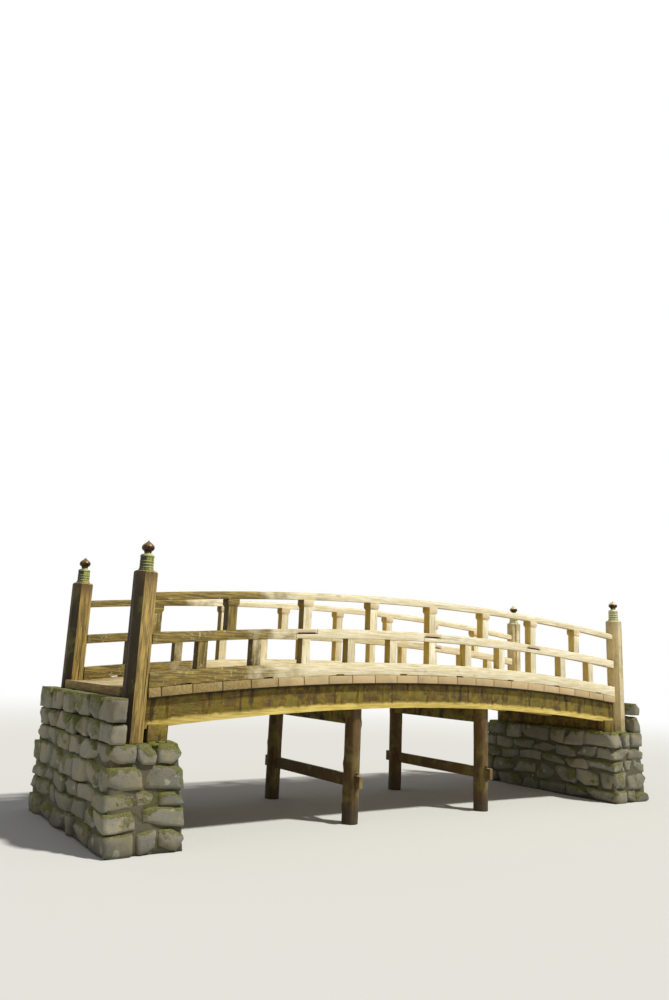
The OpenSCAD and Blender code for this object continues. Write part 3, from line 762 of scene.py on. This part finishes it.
class BRIDGE_OT_deck(bpy.types.Operator):
    """Deck boards, threshold boards and their nails"""

    bl_idname = "bridge.deck"
    bl_label = "Deck"

    def execute(self, context):
        s = context.scene.bridge_wood
        boards = weathered_wood(
            "sawn fir deck board", 1, s.deck_sun, s.deck_shade, s.stain,
            checks=0.7, left_shade=0.7, brown=0.2, side_shade=0.2, trodden=True)
        timber("deck_planks", 0.005, boards, "deck_boards", 0.25, 1, 0.0012)
        for side in ("left", "right"):
            timber("threshold_" + side, 0.005, boards, "deck_boards", 0.25, 1)
        nail = fresh(bpy.ops.mesh.primitive_cylinder_add, "nail", vertices=10, radius=0.008,
                     depth=0.004)

        def dome():
            pick_end(nail, 1)
            bpy.ops.mesh.inset(thickness=0.003)
            bpy.ops.transform.translate(value=(0, 0, 0.0012))

        in_edit_mode(nail, dome)
        places = []
        draw = random.Random(7)
        for i in range(-BOARDS_A_SIDE, BOARDS_A_SIDE):
            left = FIRST_JOINT + i * PLANK_PITCH + PLANK_GAP / 2
            right = left + PLANK_PITCH - PLANK_GAP
            left, right = max(left, -END_FACE), min(right, END_FACE)
            if right - left < 0.1:
                continue
            for y in NAIL_ROWS:
                for x in (left + NAIL_INSET, right - NAIL_INSET):
                    places.append(on_deck(
                        x + draw.uniform(-0.006, 0.006), y + draw.uniform(-0.02, 0.02)))
        nails = join("deck_nails", copies(nail, places))
        hand_over(nails, forged_iron("forged nail iron"), "patinated_bronze")
        return {"FINISHED"}


class BRIDGE_OT_girders(bpy.types.Operator):
    """Girders, sill beams and crossbeams with their moss"""

    bl_idname = "bridge.girders"
    bl_label = "Girders"

    def execute(self, context):
        s = context.scene.bridge_wood
        colours = (s.beam, "#4d3c1a", "#2e220f")
        mossy = weathered_wood("mossy fir girder", 0, *colours, moss=s.moss, lit_low_band=True, left_shade=0.5)
        across = weathered_wood("mossy fir cross timber", 1, *colours, moss=s.moss, left_shade=0.5)
        for name in ("near", "middle", "far"):
            timber("girder_" + name, 0.006, mossy, "mossy_beams", 0.2, amount=0.002)
        for side in ("left", "right"):
            timber("sill_beam_" + side, 0.006, across, "mossy_beams", 0.2, 1, 0.002)
            timber("crossbeam_" + side, 0.006, across, "mossy_beams", 0.2, 1, 0.002)
        return {"FINISHED"}


class BRIDGE_OT_piers(bpy.types.Operator):
    """Round log posts with their through ties and pins"""

    bl_idname = "bridge.piers"
    bl_label = "Piers"

    def execute(self, context):
        s = context.scene.bridge_wood
        logs = weathered_wood(
            "peeled fir log", 2, s.log, "#544022", "#3a2c1a", checks=0.9, algae=0.4, left_shade=0.3,
            wet_foot=True)
        tie = weathered_wood("sawn fir tie", 1, s.log, "#5d4a2c", "#3a2c1a", algae=0.4, left_shade=0.3)
        draw = random.Random(23)
        pins = []
        for side in ("left", "right"):
            posts, through = "pier_posts_" + side, "pier_tie_" + side
            low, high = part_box(posts)
            axis, radius = (low.x + high.x) / 2, (high.x - low.x) / 2
            axes = [(axis, low.y + radius), (axis, high.y - radius)]
            timber(posts, 0.004, logs, "pier_logs", 0.024, 2, 0.003,
                   steps=lambda piece: raise_knots(piece, draw, axes))
            timber(through, 0.004, tie, "pier_logs", 0.2, 1, 0.001)
            tie_low, tie_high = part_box(through)
            level = (tie_low.z + tie_high.z) / 2
            for y in (low.y - 0.018, high.y + 0.018):
                pins.append(Matrix.Translation((axis, y, level))
                            @ Matrix.Rotation(draw.uniform(-0.04, 0.04), 4, "Y"))
        pegs = join("tie_pins", copies(self.pin(), pins))
        number_members(pegs, 5)
        hand_over(pegs, logs, "pier_logs")
        return {"FINISHED"}

    def pin(self):
        """A tapered pin, driven down through the tie just outside the post."""
        pin = fresh(bpy.ops.mesh.primitive_cylinder_add, "tie_pin", vertices=12, radius=0.013,
                    depth=0.19)

        def work():
            pick_end(pin, -1)
            bpy.ops.transform.resize(value=(0.6, 0.6, 1))
            ease_edges(60, offset=0.0025, segments=2)

        in_edit_mode(pin, work)
        return pin


class BRIDGE_OT_stonework(bpy.types.Operator):
    """Abutments of laid field stone"""

    bl_idname = "bridge.stonework"
    bl_label = "Stonework"

    def execute(self, context):
        s = context.scene.bridge_stone
        green = context.scene.bridge_wood.moss
        stone = laid_stone("split field stone", s.grey, s.warm, green)
        # mortar pressed in by hand and weathered back, a dull dark ground that sets off the stones
        earth = laid_stone("packed mortar and earth", "#4d4a38", "#5a5440", "#4d4a20")
        moss = cushion_moss("cushion moss", green)
        for side in ("left", "right"):
            node = "abutment_" + side
            stones, core = self.build(node, side == "left", s)
            hand_over(stones, stone, "abutment_stone", node)
            hand_over(core, earth, "abutment_stone")
            hand_over(self.cushions(side), moss, "abutment_stone")
        return {"FINISHED"}

    def cushions(self, side):
        """Cushions of moss on the ledges of one abutment."""
        cushion = fresh(bpy.ops.mesh.primitive_ico_sphere_add, "moss", subdivisions=3, radius=1)
        in_edit_mode(cushion, lambda: bpy.ops.mesh.bisect(
            plane_co=(0, 0, -0.2), plane_no=(0, 0, 1), clear_inner=True, use_fill=True))
        draw = random.Random("moss" + side)
        low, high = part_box("abutment_right")
        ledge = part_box("sill_beam_right")[0].z - 0.008
        front = low.x + 0.1
        bed_half, wall_half = 1.13, 1.1
        places = []
        for i in range(CUSHIONS_PER_ABUTMENT):
            wide = draw.uniform(0.025, 0.07)
            x, y = draw.uniform(front + wide, END_FACE - 0.03), draw.uniform(-bed_half, bed_half)
            z = ledge
            if i % 3 == 0:
                # along the back wall's outer edge
                x, y = high.x - draw.uniform(wide, 0.07), draw.uniform(-wall_half, wall_half)
                z = high.z - (0.008 + wide * 0.4)
            elif abs(y) < 1.0 and x > front + 0.06:
                # most of the bed under the girders is too dark for moss
                x = front + wide
            turn = Matrix.Rotation(draw.uniform(0, math.tau), 4, "Z")
            size = Matrix.Diagonal((wide, wide * draw.uniform(0.6, 1), wide * 0.42, 1))
            places.append(Matrix.Translation((x, y, z)) @ turn @ size)
        tufts = join("moss_cushions_" + side, copies(cushion, places))
        for vertex in tufts.data.vertices:
            vertex.co += noise.noise_vector(vertex.co * 42) * 0.005
            vertex.co = within(vertex.co, (low, high))
        if side == "left":
            to_left_end(tufts)
        select_only(tufts)
        bpy.ops.object.shade_smooth()
        return tufts

    def pattern(self):
        """One pillow-faced stone, a metre each way, to be fitted to its place."""
        stone = fresh(bpy.ops.mesh.primitive_cube_add, "stone", size=1)

        def work():
            bpy.ops.mesh.subdivide(number_cuts=5)
            bpy.ops.mesh.vertices_smooth(factor=0.5, repeat=1)

        in_edit_mode(stone, work)
        return stone

    def row(self, draw, start, end, length):
        """Where the stones of one row begin and end."""
        count = max(1, round((end - start) / length))
        marks = [
            start + (end - start) * (i + (draw.uniform(-0.2, 0.2) if 0 < i < count else 0)) / count
            for i in range(count + 1)
        ]
        return list(zip(marks, marks[1:]))

    def build(self, node, mirrored, s):
        """Stones laid in courses round a recessed core, worked out for the right-hand end."""
        draw = random.Random(node)
        low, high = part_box("abutment_right")
        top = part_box("sill_beam_right")[0].z
        batter, depth = 0.09, 0.26
        side_stone, odd_stone, even_stone, wall_stone = 0.36, 0.37, 0.42, 0.34
        front, back, half = low.x + batter, high.x, high.y - batter
        # the face of the back wall, and the space between the end posts in front of it
        wall_front, between, inside = END_FACE + 0.215, END_FACE + 0.005, 0.8575
        blocks = []
        for course, (z0, z1) in enumerate(self.row(draw, 0, top, s.course)):
            # an odd number of stones over an even one, so that no joint runs up the wall
            if course % 2:
                rows = (front, back), (depth - half, half - depth, odd_stone)
            else:
                rows = (front + depth, back - depth), (-half, half, even_stone)
            for x0, x1 in self.row(draw, *rows[0], side_stone):
                blocks.append(((x0, half - depth, z0), (x1, half, z1)))
                blocks.append(((x0, -half, z0), (x1, depth - half, z1)))
            for x0 in (front, back - depth):
                for y0, y1 in self.row(draw, *rows[1]):
                    blocks.append(((x0, y0, z0), (x0 + depth, y1, z1)))
        for course, (z0, z1) in enumerate(self.row(draw, top, high.z, s.course)):
            long = even_stone if course % 2 else wall_stone
            for y0, y1 in self.row(draw, -half, half, long):
                blocks.append(((wall_front, y0, z0), (back, y1, z1)))
            for y0, y1 in self.row(draw, -inside, inside, long):
                blocks.append(((between, y0, z0), (wall_front, y1, z1)))

        def lean(point):
            """Spreads a point of the upright block out to the leaning faces."""
            if point.z < top:
                out = batter * (1 - point.z / top)
                point.x = back - (back - point.x) * (1 + out / (back - front))
                point.y *= 1 + out / half
            return point

        stones = copies(self.pattern(), [Matrix.Identity(4)] * len(blocks))
        for number, (stone, (lo, hi)) in enumerate(zip(stones, blocks)):
            lo, hi = Vector(lo), Vector(hi)
            size = hi - lo - Vector((1, 1, 1)) * s.joint
            flat_top = abs(hi.z - top) < 1e-6 or abs(hi.z - high.z) < 1e-6
            seed = Vector((number * 1.31, number * 2.17, number * 0.73))
            # hand-split: corners out of square by some 9 mm, and six facets broken off
            askew = [Vector(draw.uniform(-1, 1) for axis in range(3)) * 0.009
                     for corner in range(8)]
            splits = [(Vector(draw.uniform(-1, 1) for axis in range(3)).normalized(),
                       draw.uniform(0.51, 0.61)) for i in range(6)]
            for vertex in stone.data.vertices:
                unit = vertex.co.copy()
                for across, depth_left in splits:
                    unit -= across * max(0, unit.dot(across) - depth_left)
                place = Vector(a + u * b for a, u, b in zip((lo + hi) / 2, unit, size))
                # courses wander at half height and run level at the foot and the top
                wander = max(0, 1 - abs(2 * place.z / top - 1)) ** 0.5 if place.z < top else 0
                warp = noise.noise_vector(place * 1.9) * 0.05 * wander
                place = lean(place + warp)
                rough = noise.noise_vector(place * 6 + seed) * 0.012
                rough += noise.noise_vector(place * 19 + seed) * 0.006
                for corner, offset in enumerate(askew):
                    near = [0.5 + (v if corner >> axis & 1 else -v)
                            for axis, v in enumerate(unit)]
                    rough += offset * near[0] * near[1] * near[2]
                if flat_top and unit.z > 0.36:
                    place.z, rough.z = hi.z - 0.002, 0
                vertex.co = within(place + rough, (low, high))
        stones = join(node + "_stones", stones)
        core = fresh(bpy.ops.mesh.primitive_cube_add, node + "_core", size=1)
        in_edit_mode(core, lambda: bpy.ops.mesh.subdivide(number_cuts=15))
        for vertex in core.data.vertices:
            unit = vertex.co + Vector((0.5, 0.5, 0.5))
            vertex.co = lean(Vector((
                front + MORTAR_RECESS + unit.x * (back - front - 2 * MORTAR_RECESS),
                (unit.y - 0.5) * 2 * (half - MORTAR_RECESS), unit.z * (top - 0.004))))
            if 0 < unit.z < 1:
                vertex.co += noise.noise_vector(vertex.co * 9) * 0.014
        for piece in (stones, core):
            if mirrored:
                to_left_end(piece)
            number_members(piece, piece.name)
            select_only(piece)
            bpy.ops.object.shade_smooth()
        return stones, core


class BRIDGE_OT_finials(bpy.types.Operator):
    """Cast bronze finials on the end posts"""

    bl_idname = "bridge.finials"
    bl_label = "Finials"

    def execute(self, context):
        s = context.scene.bridge_metal
        bronze = cast_bronze("cast bronze with patina", s.brown, s.green)
        for name in CORNERS:
            node = "finial_" + name
            low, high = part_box(node)
            centre = Vector(((low.x + high.x) / 2, (low.y + high.y) / 2, low.z))
            finial = turned(node + "_turned", self.outline(), centre)
            select_only(finial)
            bpy.ops.object.shade_smooth_by_angle(angle=math.radians(40))
            hand_over(finial, bronze, "patinated_bronze", node)
        return {"FINISHED"}

    def outline(self):
        """Radius and height of the turned form: stepped foot, banded drum, shoulder, waisted
        neck and pointed bud."""
        foot, foot_high, drum, drum_high, shoulder, neck, neck_high = (
            0.076, 0.032, 0.065, 0.112, 0.018, 0.037, 0.02)
        points = [(foot - 0.001, 0.0), (foot, 0.0015), (foot, foot_high * 0.375 - 0.002),
                  (foot - 0.002, foot_high * 0.375), (foot - 0.005, foot_high * 0.375),
                  (foot - 0.005, foot_high * 0.625), (foot - 0.007, foot_high * 0.66),
                  (drum + 0.002, foot_high * 0.66)]
        for z in BANDS:
            points += [(drum, z - 0.0045), (drum + 0.003, z - 0.003), (drum + 0.004, z),
                       (drum + 0.003, z + 0.003), (drum, z + 0.0045)]
        z = foot_high + drum_high
        for i in range(1, 9):
            turn = math.radians(90 * i / 8)
            points.append((neck + (drum - neck) * math.cos(turn), z + shoulder * math.sin(turn)))
        z += shoulder
        for i in range(1, 7):
            points.append((neck * (1 - math.sin(math.pi * i / 6) / 8), z + neck_high * i / 6))
        z += neck_high
        wide, tall = 0.0615, 0.116
        for i in range(1, 29):
            share = i / 28
            if share < 0.36:
                radius = math.sqrt(1 - (1 - share / 0.36) ** 2)
            else:
                after = (share - 0.36) / 0.64
                radius = (0.43 * (1 + math.cos(math.pi * after**1.25))
                          + 0.14 * math.sqrt(max(0, 1 - after**2)))
            if wide * radius > neck * 0.98 or share > 0.3:
                points.append((max(wide * radius, 0.0008), z + tall * share))
        return points


class BRIDGE_OT_stage(bpy.types.Operator):
    """Pale floor, soft studio light and the camera"""

    bl_idname = "bridge.stage"
    bl_label = "Stage"

    def execute(self, context):
        scene = context.scene
        floor = fresh(bpy.ops.mesh.primitive_plane_add, "studio_floor", size=160)
        # rolled matt paint, a quiet pale grey near the bridge that fades to white far off
        material, put, place = new_material("matt studio floor")
        away = put("VectorMath.LENGTH", place, out="Value")
        far = put(TIMES, put(RAMP, away, 7.0, 26.0),
                  put("LightPath", out="Is Camera Ray"))
        paint = put("BsdfDiffuse", {"Color": "#cdccc9"})
        glow = put("Emission", {"Color": (1, 1, 1), "Strength": 1.0})
        put("OutputMaterial", put("MixShader", far, paint, glow))
        floor.data.materials.append(material)

        world = bpy.data.worlds.new("studio")
        scene.world = world
        world.use_nodes = True
        world.node_tree.nodes.clear()
        put = node_adder(world.node_tree)
        rays = put("LightPath", out=None)
        seen = put("Math.MAXIMUM", rays[0], put("Math.MAXIMUM", rays[3], rays[6]))
        light = put("Background", {"Color": (0.97, 0.98, 1.0), "Strength": 0.3})
        white = put("Background", {"Color": (1, 1, 1), "Strength": 1.0})
        put("OutputWorld", put("MixShader", seen, light, white))

        for name, toward, strength, softness, tint in (
            ("key", (0.53, -0.64, 1.25), 3.7, 4.0, (1.0, 0.99, 0.92)),
            ("fill", (-0.9, -0.35, 0.5), 0.1, 40.0, (0.95, 0.98, 1.0)),
        ):
            data = bpy.data.lights.new(name, "SUN")
            data.energy = strength
            data.angle = math.radians(softness)
            data.color = tint
            lamp = bpy.data.objects.new(name, data)
            lamp.rotation_euler = Vector(toward).to_track_quat("Z", "Y").to_euler()
            scene.collection.objects.link(lamp)

        data = bpy.data.cameras.new("camera")
        data.sensor_width = 36
        data.lens = 27.6
        camera = bpy.data.objects.new("camera", data)
        # place, pitch and roll are the photograph's; the heading takes in the whole bridge
        yaw, pitch, roll = 0.6047, 0.2106, 0.0427
        ahead = Vector((math.sin(yaw) * math.cos(pitch), math.cos(yaw) * math.cos(pitch),
                        math.sin(pitch)))
        right = Vector((math.cos(yaw), -math.sin(yaw), 0))
        above = right.cross(ahead)
        turned_right = math.cos(roll) * right + math.sin(roll) * above
        turned_above = -math.sin(roll) * right + math.cos(roll) * above
        axes = Matrix((turned_right, turned_above, -ahead)).transposed().to_4x4()
        camera.matrix_world = Matrix.Translation((-6.3358, -7.9936, 1.6928)) @ axes
        scene.collection.objects.link(camera)
        scene.camera = camera
        scene.view_settings.view_transform = "Standard"
        return {"FINISHED"}


class BRIDGE_PT_panel(bpy.types.Panel):
    """Lists the bridge's pieces and the studio"""

    bl_label = "Moon bridge"
    bl_idname = "BRIDGE_PT_panel"
    bl_space_type = "VIEW_3D"
    bl_region_type = "UI"
    bl_category = "Bridge"

    def draw(self, context):
        for operator in OPERATORS:
            self.layout.operator(operator.bl_idname)
        for group in ("bridge_wood", "bridge_stone", "bridge_metal"):
            box = self.layout.box()
            settings = getattr(context.scene, group)
            for name in settings.__annotations__:
                box.prop(settings, name)


OPERATORS = (
    BRIDGE_OT_stage,
    BRIDGE_OT_railings,
    BRIDGE_OT_end_posts,
    BRIDGE_OT_deck,
    BRIDGE_OT_girders,
    BRIDGE_OT_piers,
    BRIDGE_OT_stonework,
    BRIDGE_OT_finials,
)
GROUPS = {"bridge_wood": WoodSettings, "bridge_stone": StoneSettings, "bridge_metal": MetalSettings}


def register():
    for group in GROUPS.values():
        bpy.utils.register_class(group)
    for name, group in GROUPS.items():
        setattr(bpy.types.Scene, name, PointerProperty(type=group))
    for operator in OPERATORS:
        bpy.utils.register_class(operator)
    bpy.utils.register_class(BRIDGE_PT_panel)


def unregister():
    bpy.utils.unregister_class(BRIDGE_PT_panel)
    for operator in reversed(OPERATORS):
        bpy.utils.unregister_class(operator)
    for name, group in GROUPS.items():
        delattr(bpy.types.Scene, name)
        bpy.utils.unregister_class(group)


def main():
    register()
    for operator in OPERATORS:
        group, name = operator.bl_idname.split(".")
        getattr(getattr(bpy.ops, group), name)()


if __name__ == "__main__":
    main()
